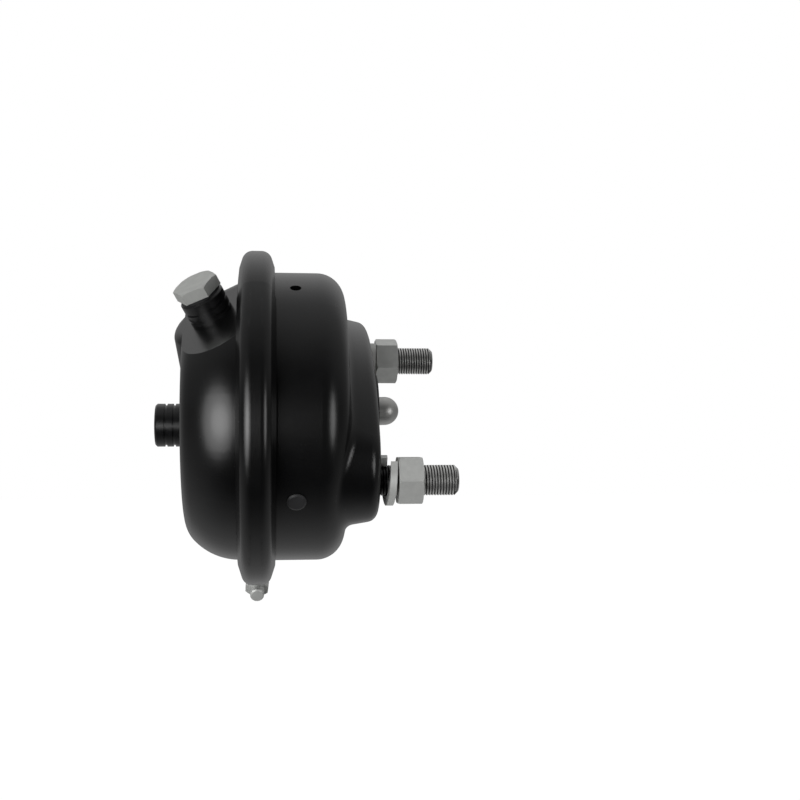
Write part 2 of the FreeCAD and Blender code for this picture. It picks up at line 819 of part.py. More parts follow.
def boss_profile(start, height, spigot):
    """Half section of a turned port boss along X from its foot, with two grooves near its mouth."""
    end = f"({start} + {height})"
    low = "(boss_radius - boss_groove_depth)"
    points = [(f"{start} - {spigot}", "port_bore"), (f"{start} - {spigot}", "boss_spigot")]
    points += [(start, "boss_spigot"), (start, "boss_radius")]
    for groove in ("(boss_groove_first + boss_groove_step)", "boss_groove_first"):
        inner = f"({end} - {groove} - boss_groove_width)"
        outer = f"({end} - {groove})"
        points += [(inner, "boss_radius"), (inner, low), (outer, low), (outer, "boss_radius")]
    points += [
        (f"{end} - boss_chamfer", "boss_radius"),
        (end, "boss_radius - boss_chamfer"),
        (end, "port_bore + boss_chamfer"),
        (f"{end} - boss_chamfer", "port_bore"),
    ]
    return points


def axial_port_boss():
    boss = turned("axial_port_boss", boss_profile("0", "axial_boss_height", "rear_wall"))
    place(boss, x=REAR_FACE, z="0 - axial_boss_drop", axis=(0, 0, 1), turn="180")
    return boss


def port_place(piece, turn="0"):
    """Puts a piece made along X on the pressed seat, standing square to it."""
    place(
        piece,
        x=f"{RING} - port_setback",
        y=f"0 - {SEAT_LIFT} * sin(port_clock)",
        z=f"{SEAT_LIFT} * cos(port_clock)",
    )
    slope = math.radians(value("seat_slope"))
    clock = math.radians(value("port_clock"))
    way = FreeCAD.Vector(
        -math.sin(slope), -math.cos(slope) * math.sin(clock), math.cos(slope) * math.cos(clock)
    )
    stand = FreeCAD.Rotation(FreeCAD.Vector(1, 0, 0), way)
    own = FreeCAD.Rotation(FreeCAD.Vector(1, 0, 0), value(turn))
    piece.Placement.Rotation = stand.multiply(own)
    return piece


def angled_port():
    boss = turned("angled_port_boss", boss_profile("0", "angled_boss_height", "rear_wall"))
    seal = turned(
        "port_plug_seal",
        [
            ("angled_boss_height", "port_bore + boss_chamfer"),
            ("angled_boss_height", "plug_seal_radius"),
            ("angled_boss_height + plug_seal_gauge", "plug_seal_radius"),
            ("angled_boss_height + plug_seal_gauge", "port_bore + boss_chamfer"),
        ],
    )
    head = "angled_boss_height + plug_seal_gauge"
    plug = hex_piece("port_plug", "plug_flats", head, "plug_head_height", chamfer="plug_chamfer")
    shank = circles(new_sketch(plug, "shank", "YZ_Plane", f"{head} - plug_shank"), "port_bore")
    extrude(plug, shank, "plug_shank")
    return [port_place(boss), port_place(seal), port_place(plug, "plug_turn")]


def diaphragm():
    wall = "diaphragm_wall"
    back = f"({PLATE_BACK} - {wall})"
    bead = f"({FLANGE_RADIUS} - 1)"
    neck = f"({REAR_RADIUS} - 1)"
    return turned(
        "diaphragm",
        [
            (f"{RING} - {flange_inside(bead, 'rear_wall')}", bead),
            (f"{RING} + {flange_inside(bead, 'front_wall')}", bead),
            (f"{RING} + {flange_inside(neck, 'front_wall')}", neck),
            (f"{RING} - 0.4", f"{REAR_RADIUS} - 4.5"),
            (f"{RING} - 3.4", f"{REAR_RADIUS} - 16.5"),
            (f"{PLATE_BACK} + 5", "plate_radius + 1.6"),
            (f"{PLATE_BACK} + 1", "plate_radius - 0.4"),
            (PLATE_BACK, "plate_radius - 2.6"),
            (PLATE_BACK, "0"),
            (back, "0"),
            (back, "plate_radius - 1"),
            (f"{PLATE_BACK} - 1", "plate_radius + 2.4"),
            (f"{PLATE_BACK} + 2.4", "plate_radius + 4.6"),
            (f"{RING} - 6.4", f"{REAR_RADIUS} - 15"),
            (f"{RING} - 3.6", f"{REAR_RADIUS} - 4"),
            (f"{RING} - {flange_inside(neck, 'rear_wall')}", neck),
        ],
    )


def push_plate():
    rim = f"({PLATE_BACK} + plate_rim)"
    plate = turned(
        "push_plate",
        [
            (PLATE_BACK, "0"),
            (PLATE_BACK, "plate_radius - 3"),
            (f"{PLATE_BACK} + 3", "plate_radius"),
            (rim, "plate_radius"),
            (rim, "plate_radius - plate_gauge"),
            (f"{PLATE_FRONT} + 1.2", "plate_radius - plate_gauge"),
            (PLATE_FRONT, "plate_radius - plate_gauge - 1.2"),
            (PLATE_FRONT, "0"),
        ],
    )
    return plate


def ball_socket():
    """Hub on the push plate that holds the push rod's ball, split at the retainer."""
    seam = f"({HUB_FRONT} - retainer_gauge)"
    cup = "(ball_radius + ball_play)"
    hub = turned(
        "ball_socket",
        [
            (PLATE_FRONT, "0"),
            (PLATE_FRONT, "hub_radius"),
            (seam, "hub_radius"),
            (seam, f"sqrt({cup}^2 - ({seam} - {PIVOT})^2)", cup, 1),
            (f"{PIVOT} - {cup}", "0"),
        ],
    )
    retainer = turned(
        "rod_retainer",
        [
            (seam, f"sqrt({cup}^2 - ({seam} - {PIVOT})^2)"),
            (seam, "hub_radius"),
            (f"{HUB_FRONT} - 0.8", "hub_radius"),
            (HUB_FRONT, "hub_radius - 0.8"),
            (HUB_FRONT, f"sqrt({cup}^2 - ({HUB_FRONT} - {PIVOT})^2)", cup, 1),
        ],
    )
    return [hub, retainer]


def push_rod():
    """Rod with a ball at its inner end and a domed tip, drawn tilted as it rests."""
    neck = "sqrt(ball_radius^2 - rod_radius^2)"
    tip = f"(rod_reach - {PIVOT})"
    rod = turned(
        "push_rod",
        [
            (tip, "0", "rod_radius", 1),
            (f"{tip} - rod_radius", "rod_radius"),
            (neck, "rod_radius", "ball_radius", 1),
            ("0", "ball_radius", "ball_radius", 1),
            ("0 - ball_radius", "0"),
        ],
    )
    place(rod, x=PIVOT, axis=(0, 1, 0), turn="0 - rod_tilt")
    return rod


def return_spring():
    """Conical spring from the push plate to its seat, ground flat by its seats' faces."""
    wire = value("spring_wire") / 2
    small, large = value("spring_small_radius"), value("spring_large_radius")
    start, end = value(PLATE_FRONT) + wire, value(SPRING_SEAT) - wire
    length = end - start
    turns = value("spring_turns")
    cone = math.degrees(math.atan((large - small) / length))
    path = Part.makeHelix(length / turns, length, small, cone)
    section = Part.Wire(
        Part.makeCircle(wire, FreeCAD.Vector(small, 0, 0), FreeCAD.Vector(0, 1, 0))
    )
    sweep = Part.BRepOffsetAPI.MakePipeShell(path)
    sweep.setFrenetMode(True)
    sweep.add(section)
    sweep.build()
    sweep.makeSolid()
    spring = document.addObject("Part::Feature", "return_spring")
    spring.Shape = sweep.shape()
    spring.Placement.Base = FreeCAD.Vector(start, 0, 0)
    spring.Placement.Rotation = FreeCAD.Rotation(
        FreeCAD.Vector(0, 0, 1), FreeCAD.Vector(1, 0, 0)
    )
    return spring


def stud_plate():
    """Oval plate inside the pad that the studs' heads pull against."""
    body = new_body("stud_plate")
    sketch = new_sketch(body, "oval", "YZ_Plane", STUD_PLATE)
    oval(sketch, "(pad_edge + stud_plate_play)")
    circles(sketch, "mouth_radius + boot_wall * 2")
    extrude(body, sketch, "stud_plate_gauge")
    holes = circles(
        new_sketch(body, "stud_holes", "YZ_Plane"),
        "stud_radius + clamp_play",
        [("stud_pitch / 2", "0"), ("0 - stud_pitch / 2", "0")],
    )
    cut_through(body, holes)
    place(body, axis=(1, 0, 0), turn="stud_angle")
    return body


def spring_seat():
    inner = "(spring_large_radius - spring_seat_half_width)"
    lip = f"({inner} + spring_seat_gauge)"
    outer = "spring_large_radius + spring_seat_half_width"
    return turned(
        "spring_seat",
        [
            (SPRING_SEAT, lip),
            (SPRING_SEAT, outer),
            (f"{SPRING_SEAT} + spring_seat_gauge", outer),
            (f"{SPRING_SEAT} + spring_seat_gauge", inner),
            (f"{SPRING_SEAT} - spring_seat_lip", inner),
            (f"{SPRING_SEAT} - spring_seat_lip", lip),
        ],
    )


def rod_boot():
    """Bellows from the hub's collar to the mouth; its folds close up as the rod comes out."""
    collar = f"({HUB_FRONT} - boot_collar_length)"
    mouth = "(0 - front_wall)"
    last_valley = f"({STUD_PLATE} - 0.6)"
    pitch = f"(({last_valley} - {HUB_FRONT} - 1) / boot_folds)"
    outer = [(collar, "hub_radius + boot_wall"), (f"{HUB_FRONT} + 1", "hub_radius + boot_wall")]
    inner = [(collar, "hub_radius"), (f"{HUB_FRONT} + 1", "hub_radius")]
    thick = "boot_wall * 1.3"
    for fold in range(int(value("boot_folds"))):
        valley = f"({HUB_FRONT} + 1 + {fold + 1} * {pitch})"
        crest = f"({HUB_FRONT} + 1 + {fold + 0.5} * {pitch})"
        outer += [(crest, "boot_crest_radius"), (valley, "boot_valley_radius")]
        inner += [(crest, f"boot_crest_radius - {thick}")]
        inner += [(valley, f"boot_valley_radius - {thick}")]
    rim = "mouth_radius + boot_wall * 1.6"
    outer += [(f"{mouth} - 2.2", rim), (mouth, rim)]
    inner += [(mouth, f"boot_valley_radius - {thick}")]
    return turned("rod_boot", outer + inner[::-1])


def boot_clip():
    start = f"({HUB_FRONT} - boot_collar_length / 2 - clip_width / 2)"
    return turned(
        "boot_clip",
        [
            (start, "hub_radius + boot_wall"),
            (start, "hub_radius + boot_wall + clip_gauge"),
            (f"{start} + clip_width", "hub_radius + boot_wall + clip_gauge"),
            (f"{start} + clip_width", "hub_radius + boot_wall"),
        ],
    )


def face_seal():
    """Rubber ring in the mouth whose lip stands proud of the mounting face."""
    return turned(
        "face_seal",
        [
            ("0 - front_wall", "seal_bore"),
            ("0 - front_wall", "mouth_radius"),
            ("0", "mouth_radius"),
            ("0", "seal_lip_radius"),
            ("seal_lip_height * 0.6", "seal_lip_radius"),
            ("seal_lip_height", "seal_lip_radius - 0.9"),
            ("seal_lip_height", "seal_lip_radius - seal_lip_thickness"),
            ("seal_lip_height * 0.4", "seal_lip_radius - seal_lip_thickness - 1"),
            ("seal_lip_height * 0.4", "seal_bore + 1"),
            ("0", "seal_bore"),
        ],
    )


def vent_plug(side, quarter):
    """Plug pressed into one of the two vents in line with the studs."""
    wall = "cup_radius"
    plug = turned(
        f"{side}_vent_plug",
        [
            (f"{wall} - vent_plug_shank", "0"),
            (f"{wall} - vent_plug_shank", "vent_radius"),
            (f"{wall} + 0.2", "vent_radius"),
            (f"{wall} + 0.2", "vent_plug_head_radius"),
            (f"{wall} + vent_plug_head_height * 0.6", "vent_plug_head_radius"),
            (f"{wall} + vent_plug_head_height", "vent_plug_head_radius - 1"),
            (f"{wall} + vent_plug_head_height", "0"),
        ],
    )
    turn = math.radians(value(f"{90 * quarter} + stud_angle - vent_turn"))
    bind(plug, "Placement.Base.x", "0 - vent_setback")
    way = FreeCAD.Vector(0, -math.sin(turn), math.cos(turn))
    plug.Placement.Rotation = FreeCAD.Rotation(FreeCAD.Vector(1, 0, 0), way)
    return plug


pieces = [
    rear_housing(),
    axial_port_boss(),
    *angled_port(),
    front_housing(),
    clamp_ring(),
    *clamp_fastening(),
    stud_plate(),
    *(mounting_stud(side) for side in ("upper", "lower")),
    *(spring_washer(side) for side in ("upper", "lower")),
    *(stud_nut(side) for side in ("upper", "lower")),
    diaphragm(),
    push_plate(),
    *ball_socket(),
    push_rod(),
    return_spring(),
    spring_seat(),
    rod_boot(),
    boot_clip(),
    face_seal(),
    vent_plug("upper", 3),
    vent_plug("lower", 1),
]

document.recompute()
failed = [item.Name for item in document.Objects if {"Invalid", "Error"} & set(item.State)]
failed += [item.Label for item in pieces if item.Shape.isNull() or not item.Shape.isValid()]
if failed:
    raise RuntimeError(f"these did not build: {failed}")

os.makedirs("parts", exist_ok=True)
for item in pieces:
    item.Shape.exportStep(f"parts/{item.Label}.step")
    print(f"{item.Label:24s} {item.Shape.Volume / 1000:9.2f} cm3")
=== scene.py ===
# %% [markdown]
# An air brake chamber
#
# This lesson dresses a finished construction model of an air brake chamber: two pressed steel
# cups held together by a clamp ring, with a push rod that comes out between two threaded studs.
# The cups, the ring and the hexagons already have their true shape, so most of the work is
# finish: satin black dip coat, dull zinc, ground steel and rubber. What the construction model
# leaves plain is modelled here: the screw threads, the folded boot and the coils that close up
# when the rod comes out. Everything is in metres, +X runs along the chamber's axis towards the
# rod's tip and +Z is up.

# %% Load the fixed frame
import math

import bpy
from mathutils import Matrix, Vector


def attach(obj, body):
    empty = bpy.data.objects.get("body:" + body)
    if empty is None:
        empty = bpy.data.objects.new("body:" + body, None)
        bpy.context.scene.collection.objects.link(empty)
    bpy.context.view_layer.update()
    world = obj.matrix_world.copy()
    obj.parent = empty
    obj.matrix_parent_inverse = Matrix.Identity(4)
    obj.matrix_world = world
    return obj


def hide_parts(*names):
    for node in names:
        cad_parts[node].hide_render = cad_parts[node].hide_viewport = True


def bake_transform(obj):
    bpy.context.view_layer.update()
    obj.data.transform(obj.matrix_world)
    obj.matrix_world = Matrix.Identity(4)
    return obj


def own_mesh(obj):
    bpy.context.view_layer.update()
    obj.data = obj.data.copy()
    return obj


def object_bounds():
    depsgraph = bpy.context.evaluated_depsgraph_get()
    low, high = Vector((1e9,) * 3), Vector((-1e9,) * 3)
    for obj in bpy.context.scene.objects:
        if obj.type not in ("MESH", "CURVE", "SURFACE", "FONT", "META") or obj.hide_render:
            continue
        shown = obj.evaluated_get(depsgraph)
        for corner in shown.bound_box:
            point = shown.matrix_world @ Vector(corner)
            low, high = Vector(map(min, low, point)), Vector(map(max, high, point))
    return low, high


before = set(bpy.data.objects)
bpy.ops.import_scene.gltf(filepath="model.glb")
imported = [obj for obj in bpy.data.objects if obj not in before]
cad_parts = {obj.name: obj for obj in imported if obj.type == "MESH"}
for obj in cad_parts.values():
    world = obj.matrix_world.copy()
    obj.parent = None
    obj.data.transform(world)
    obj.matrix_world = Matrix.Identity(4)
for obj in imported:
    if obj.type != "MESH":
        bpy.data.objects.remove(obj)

MM = 0.001
cad_low, cad_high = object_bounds()
print("construction model:", [round(high - low, 4) for low, high in zip(cad_low, cad_high)])

# %% [markdown]
# The camera
#
# The photograph looks square at the chamber's side from about two thirds of a metre, level with
# its axis, and the chamber stands left of the picture's middle. Instead of shifting the lens,
# the camera is turned a little to the right, which keeps its shift at nothing and so keeps every
# other view of the part centred.

# %% Place the camera
CAMERA_PLACE = Vector((-58.8, -665.0, 0.6)) * MM
AIM_RIGHT = math.radians(6.5)
AIM_UP = math.radians(0.74)
FOCAL_LENGTH_MM = 52.75


def place_camera():
    bpy.ops.object.camera_add(
        location=CAMERA_PLACE,
        rotation=(math.radians(90) + AIM_UP, 0, -AIM_RIGHT),
    )
    camera = bpy.context.object
    camera.name = "camera"
    camera.data.lens = FOCAL_LENGTH_MM
    camera.data.sensor_width = 36
    camera.data.clip_start = 0.01
    bpy.context.scene.camera = camera
    return camera


camera = place_camera()
print("camera at", [round(c, 3) for c in camera.location])

# %% [markdown]
# The studio
#
# Black paint shows only what it mirrors, so the studio is planned by what the paint should
# mirror. In the photograph the cups are nearly black where they face the camera, grey towards
# their upper and lower rims, and carry one soft patch on the left cup and thin lines on the
# ring. That is a white ceiling and floor behind the part, a dark side at the camera, and oval
# soft boxes beside the camera, about level with the axis: a narrow one on its right, and on its
# left a wide one with a smaller one in front, so that the patch fades towards its rim. The
# world gives ceiling and floor by the direction in which a ray leaves: it is dark towards the
# camera and dimmer at the horizon. To the camera itself it stays plain white.

# %% Light the tent
TENT_WHITE = 1.0
HORIZON_SHARE = 0.25
CEILING_LEAD = 0.25
TENT_LIGHT = [(-0.75, 0.01), (-0.24, 0.33), (0.1, 0.46), (0.45, 0.52), (0.8, 0.85), (1.1, 0.95)]
LAMP_AIM = Vector((-50, 0, 0)) * MM
# Azimuth in degrees, then height, distance, width and tallness in metres, and power in watts.
SOFT_BOXES = {
    "left_box": (-34, -0.06, 1.0, 1.0, 0.85, 6.2),
    "left_core": (-31, -0.06, 0.98, 0.5, 0.4, 1.8),
    "right_box": (42, -0.03, 1.0, 0.35, 0.55, 1.6),
}


def build_world():
    world = bpy.data.worlds.new("tent")
    world.use_nodes = True
    bpy.context.scene.world = world
    nodes, links = world.node_tree.nodes, world.node_tree.links
    nodes.clear()

    def math_node(operation, first, second):
        node = nodes.new("ShaderNodeMath")
        node.operation = operation
        for socket, source in zip(node.inputs, (first, second)):
            if isinstance(source, float):
                socket.default_value = source
            else:
                links.new(source, socket)
        return node.outputs[0]

    where = nodes.new("ShaderNodeTexCoord")
    split = nodes.new("ShaderNodeSeparateXYZ")
    links.new(where.outputs["Generated"], split.inputs[0])
    lead = math_node("MULTIPLY", split.outputs["Z"], CEILING_LEAD)
    behind = math_node("ADD", split.outputs["Y"], lead)
    first, last = TENT_LIGHT[0][0], TENT_LIGHT[-1][0]
    span = nodes.new("ShaderNodeMapRange")
    span.inputs["From Min"].default_value = first
    span.inputs["From Max"].default_value = last
    links.new(behind, span.inputs["Value"])
    fade = nodes.new("ShaderNodeValToRGB")
    for count, (lead_at, light) in enumerate(TENT_LIGHT):
        position = (lead_at - first) / (last - first)
        if count < 2:
            stop = fade.color_ramp.elements[count]
            stop.position = position
        else:
            stop = fade.color_ramp.elements.new(position)
        stop.color = (light, light, light, 1)
    links.new(span.outputs[0], fade.inputs["Fac"])
    steep = math_node("ABSOLUTE", split.outputs["Z"], 0.0)
    slope = math_node("MULTIPLY", steep, 1 - HORIZON_SHARE)
    share = math_node("ADD", slope, HORIZON_SHARE)
    tent = nodes.new("ShaderNodeBackground")
    tent.inputs["Color"].default_value = (1, 1, 1, 1)
    links.new(math_node("MULTIPLY", fade.outputs[0], share), tent.inputs["Strength"])
    plain = nodes.new("ShaderNodeBackground")
    plain.inputs["Color"].default_value = (1, 1, 1, 1)
    plain.inputs["Strength"].default_value = TENT_WHITE
    path = nodes.new("ShaderNodeLightPath")
    mix = nodes.new("ShaderNodeMixShader")
    links.new(path.outputs["Is Camera Ray"], mix.inputs[0])
    links.new(tent.outputs[0], mix.inputs[1])
    links.new(plain.outputs[0], mix.inputs[2])
    out = nodes.new("ShaderNodeOutputWorld")
    links.new(mix.outputs[0], out.inputs[0])


def soft_box(name, azimuth, height, distance, width, tall, power):
    """An area lamp that looks at the chamber's middle; azimuth 0 is behind the camera."""
    turn = math.radians(azimuth)
    way = Vector((math.sin(turn), -math.cos(turn), 0)) * distance
    place = LAMP_AIM + way + Vector((0, 0, height))
    bpy.ops.object.light_add(type="AREA", location=place)
    lamp = bpy.context.object
    lamp.name = name
    lamp.data.shape = "ELLIPSE"
    lamp.data.size = width
    lamp.data.size_y = tall
    lamp.data.energy = power
    lamp.rotation_euler = (LAMP_AIM - place).to_track_quat("-Z", "Y").to_euler()
    return lamp


build_world()
for name, setting in SOFT_BOXES.items():
    soft_box(name, *setting)
bpy.context.scene.view_settings.view_transform = "Standard"

# %% [markdown]
# The floor
#
# The photograph was cut out on plain white, with no floor and no shadow in it. A floor well
# below the part keeps a faint shadow out of the picture and still grounds the other views. Its
# shader mixes plain white light for the camera with real white paint, so a shadow can darken it.
# Only the camera sees it: the paint of the cups mirrors the world in its place.

# %% Lay the floor
FLOOR_SIZE = 8
FLOOR_DROP = 0.22
FLOOR_PAINT = (0.9, 0.9, 0.9, 1)
FLOOR_GLOW = 1.06
FLOOR_GLOW_SHARE = 0.94


def lay_floor():
    bpy.ops.mesh.primitive_plane_add(size=FLOOR_SIZE, location=(0, 0, cad_low[2] - FLOOR_DROP))
    floor = bpy.context.object
    floor.name = "floor"
    paint = bpy.data.materials.new("floor_white")
    paint.use_nodes = True
    nodes, links = paint.node_tree.nodes, paint.node_tree.links
    nodes.clear()
    matte = nodes.new("ShaderNodeBsdfDiffuse")
    matte.inputs["Color"].default_value = FLOOR_PAINT
    glow = nodes.new("ShaderNodeEmission")
    glow.inputs["Strength"].default_value = FLOOR_GLOW
    mix = nodes.new("ShaderNodeMixShader")
    mix.inputs[0].default_value = FLOOR_GLOW_SHARE
    links.new(matte.outputs[0], mix.inputs[1])
    links.new(glow.outputs[0], mix.inputs[2])
    out = nodes.new("ShaderNodeOutputMaterial")
    links.new(mix.outputs[0], out.inputs[0])
    floor.data.materials.append(paint)
    floor.visible_glossy = False
    floor.visible_diffuse = False
    return floor


lay_floor()

# %% [markdown]
# Finishes
#
# Every finish starts the same way: the object's own coordinates feed a noise that shifts the
# colour and the roughness a little, and a finer noise gives a bump. Only the noises' scales and
# strengths differ: dip coat has a long soft ripple like orange peel, zinc a dull crystal mottle,
# turned steel a fine mottle, rubber a dusty bloom.

# %% A helper for every finish
RELIEF_DEPTH = 0.05 * MM


def finish_material(name, colour, spread, metallic, roughness, rough_spread, coarse, fine, bump):
    """Principled shader whose colour and roughness vary with noise, over a fine bump."""
    material = bpy.data.materials.new(name)
    material.use_nodes = True
    nodes, links = material.node_tree.nodes, material.node_tree.links
    shader = nodes["Principled BSDF"]
    shader.inputs["Metallic"].default_value = metallic
    place = nodes.new("ShaderNodeTexCoord")

    def noise(scale, detail):
        node = nodes.new("ShaderNodeTexNoise")
        node.inputs["Scale"].default_value = scale
        node.inputs["Detail"].default_value = detail
        links.new(place.outputs["Object"], node.inputs["Vector"])
        return node

    broad = noise(coarse, 4)
    ramp = nodes.new("ShaderNodeValToRGB")
    ramp.color_ramp.elements[0].position = 0.3
    ramp.color_ramp.elements[1].position = 0.7
    ramp.color_ramp.elements[0].color = (*[c * (1 - spread) for c in colour], 1)
    ramp.color_ramp.elements[1].color = (*[c * (1 + spread) for c in colour], 1)
    links.new(broad.outputs["Fac"], ramp.inputs["Fac"])
    links.new(ramp.outputs["Color"], shader.inputs["Base Color"])
    small = noise(fine, 5)
    sheen = nodes.new("ShaderNodeMapRange")
    sheen.inputs["To Min"].default_value = roughness - rough_spread
    sheen.inputs["To Max"].default_value = roughness + rough_spread
    links.new(small.outputs["Fac"], sheen.inputs["Value"])
    links.new(sheen.outputs[0], shader.inputs["Roughness"])
    relief = nodes.new("ShaderNodeBump")
    relief.inputs["Strength"].default_value = bump
    relief.inputs["Distance"].default_value = RELIEF_DEPTH
    links.new(small.outputs["Fac"], relief.inputs["Height"])
    links.new(relief.outputs["Normal"], shader.inputs["Normal"])
    return material


# %% [markdown]
# The chamber's finishes
#
# The colours are those of the photograph under even light: the dip coat is a black that turns
# grey only where it mirrors the tent, the nuts and the plug are dull zinc, the threads' groove
# flanks carry a darker steel as painted shade, and the rod is ground and brighter.

# %% Mix the finishes
black_coat = finish_material(
    "black_dip_coat", (0.004, 0.0041, 0.0043), 0.2, 0.0, 0.26, 0.03, 90, 900, 0.08
)
turned_black = finish_material(
    "turned_black_steel", (0.01, 0.01, 0.0105), 0.25, 0.1, 0.25, 0.05, 200, 1600, 0.12
)
dull_zinc = finish_material("dull_zinc", (0.68, 0.69, 0.67), 0.06, 0.5, 0.48, 0.06, 260, 1500, 0.2)
plug_zinc = finish_material("plug_zinc", (0.54, 0.55, 0.53), 0.06, 0.5, 0.48, 0.06, 260, 1500, 0.2)
thread_steel = finish_material(
    "oiled_thread_steel", (0.66, 0.66, 0.645), 0.12, 0.85, 0.38, 0.08, 300, 1800, 0.2
)
ground_steel = finish_material(
    "ground_steel", (0.58, 0.58, 0.565), 0.06, 0.75, 0.42, 0.06, 220, 1400, 0.12
)
# A darker copy of the thread steel: painted shade for the groove flanks of the threads.
groove_painted_shade = finish_material(
    "thread_groove_painted_shade", (0.15, 0.15, 0.147), 0.2, 0.6, 0.5, 0.08, 300, 1800, 0.2
)
grey_steel = finish_material(
    "grey_phosphate_steel", (0.13, 0.13, 0.13), 0.15, 0.5, 0.5, 0.06, 150, 1200, 0.2
)
coated_spring = finish_material(
    "coated_spring_steel", (0.03, 0.03, 0.033), 0.2, 0.0, 0.4, 0.06, 150, 1200, 0.2
)
black_rubber = finish_material(
    "black_rubber", (0.016, 0.016, 0.017), 0.25, 0.0, 0.62, 0.06, 120, 1000, 0.3
)
black_plastic = finish_material(
    "black_plastic", (0.02, 0.02, 0.021), 0.15, 0.0, 0.45, 0.05, 150, 1100, 0.15
)

NODE_FINISH = {
    "rear_housing": black_coat,
    "front_housing": black_coat,
    "clamp_ring": black_coat,
    "axial_port_boss": turned_black,
    "angled_port_boss": turned_black,
    "port_plug_seal": black_rubber,
    "port_plug": plug_zinc,
    "clamp_bolt": dull_zinc,
    "clamp_nut": dull_zinc,
    "stud_plate": grey_steel,
    "upper_mounting_stud": thread_steel,
    "lower_mounting_stud": thread_steel,
    "upper_spring_washer": dull_zinc,
    "lower_spring_washer": dull_zinc,
    "upper_stud_nut": dull_zinc,
    "lower_stud_nut": dull_zinc,
    "diaphragm": black_rubber,
    "push_plate": grey_steel,
    "ball_socket": grey_steel,
    "rod_retainer": grey_steel,
    "push_rod": ground_steel,
    "return_spring": coated_spring,
    "spring_seat": grey_steel,
    "rod_boot": black_rubber,
    "boot_clip": dull_zinc,
    "face_seal": black_rubber,
    "upper_vent_plug": black_plastic,
    "lower_vent_plug": black_plastic,
}
for node, finish in NODE_FINISH.items():
    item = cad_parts[node]
    item.data.materials.clear()
    item.data.materials.append(finish)
print(len(NODE_FINISH), "nodes have their finish")

# %% [markdown]
# Hands for the modelling
#
# Seven small helpers keep the modelling cells short. They select one object, open it in edit
# mode, apply its modifiers, settle its place into its mesh, join objects, pick vertices by their
# place, and weld, close and turn a mesh's faces outward. An eighth draws a half section as a
# chain of edges, point by point, and the Screw modifier turns it about the axis, as a lathe does.

# %% Helpers for the modelling
WELD = 0.001 * MM
SAME_PLACE = 1e-7


def select_only(item):
    if bpy.context.object and bpy.context.object.mode == "EDIT":
        bpy.ops.object.mode_set(mode="OBJECT")
    bpy.ops.object.select_all(action="DESELECT")
    item.select_set(True)
    bpy.context.view_layer.objects.active = item


def edit(item):
    """Opens an object in edit mode with everything selected."""
    select_only(item)
    bpy.ops.object.mode_set(mode="EDIT")
    bpy.ops.mesh.select_mode(type="VERT")
    bpy.ops.mesh.select_all(action="SELECT")


def apply_modifiers(item):
    select_only(item)
    for modifier in list(item.modifiers):
        bpy.ops.object.modifier_apply(modifier=modifier.name)


def settle(item):
    """Applies a finished piece's place, turn and scale, so that its object is at the origin."""
    select_only(item)
    bpy.ops.object.transform_apply(location=True, rotation=True, scale=True)


def join(items, name):
    select_only(items[0])
    for item in items[1:]:
        item.select_set(True)
    bpy.ops.object.join()
    items[0].name = name
    return items[0]


def pick(item, wanted):
    """Leaves only the vertices for which wanted(place) is true selected, in edit mode."""
    bpy.ops.mesh.select_all(action="DESELECT")
    bpy.ops.object.mode_set(mode="OBJECT")
    for vertex in item.data.vertices:
        vertex.select = wanted(vertex.co)
    bpy.ops.object.mode_set(mode="EDIT")


def tidy(item):
    """Welds doubles, closes open ends and turns every face outward."""
    edit(item)
    bpy.ops.mesh.remove_doubles(threshold=WELD)
    bpy.ops.mesh.fill_holes(sides=0)
    bpy.ops.mesh.select_all(action="SELECT")
    bpy.ops.mesh.normals_make_consistent(inside=False)
    bpy.ops.object.mode_set(mode="OBJECT")


def turn_on_lathe(name, section, steps, closed=True):
    """Turns a half section, given as (x, radius) in millimetres, about the chamber's axis."""
    points = [Vector((x, 0, radius)) * MM for x, radius in section]
    bpy.ops.mesh.primitive_plane_add(size=MM)
    item = bpy.context.object
    item.name = name
    edit(item)
    bpy.ops.mesh.merge(type="CENTER")
    bpy.ops.transform.translate(value=points[0])
    for before, after in zip(points, points[1:]):
        bpy.ops.mesh.extrude_region_move(TRANSFORM_OT_translate={"value": after - before})
    if closed:
        ends = (points[0], points[-1])
        pick(item, lambda place: min((place - end).length for end in ends) < SAME_PLACE)
        bpy.ops.mesh.edge_face_add()
    lathe = item.modifiers.new("lathe", "SCREW")
    lathe.axis = "X"
    lathe.steps = steps
    lathe.render_steps = steps
    lathe.use_merge_vertices = True
    lathe.merge_threshold = WELD
    apply_modifiers(item)
    tidy(item)
    return item


# %% [markdown]
# Threads
#
# A thread is one small ridge that climbs as it turns. It starts as a single edge as long as the
# pitch, cut in four, whose three inner points are pulled out to a flat crest, and the Screw
# modifier winds it into a helix that is longer than the bar. Bisecting both ends gives the
# length and closes it. The tip is then turned down to a chamfer by drawing its outer vertices
# in, which also thins the last threads as on a real stud.

# %% A threaded bar
CREST_SHARE = 0.75
THREAD_WELD = 0.01 * MM


